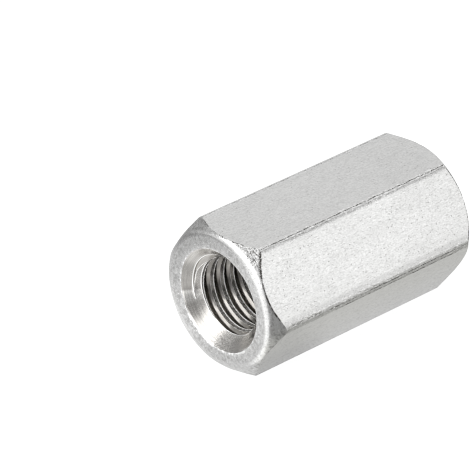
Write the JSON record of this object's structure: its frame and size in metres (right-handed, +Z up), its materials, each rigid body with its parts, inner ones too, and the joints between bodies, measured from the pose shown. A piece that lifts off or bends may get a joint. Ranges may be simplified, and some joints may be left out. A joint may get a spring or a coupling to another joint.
{
  "type": "coupling nut",
  "caption": "Long hexagonal coupling nut with a through thread, a countersink and a turned chamfer at each end, for joining threaded rods end to end.",
  "frame": {"origin": "middle of the flat that the nut rests on, halfway along its length", "axes": "+Y along the thread axis, +Z up, square to the flat that it rests on, and X across the corners"},
  "size_m": [0.0218, 0.036, 0.019],
  "materials": {
    "steel": "satin"
  },
  "bodies": {
    "root": {"coupling_nut": "steel"}
  },
  "joints": []
}
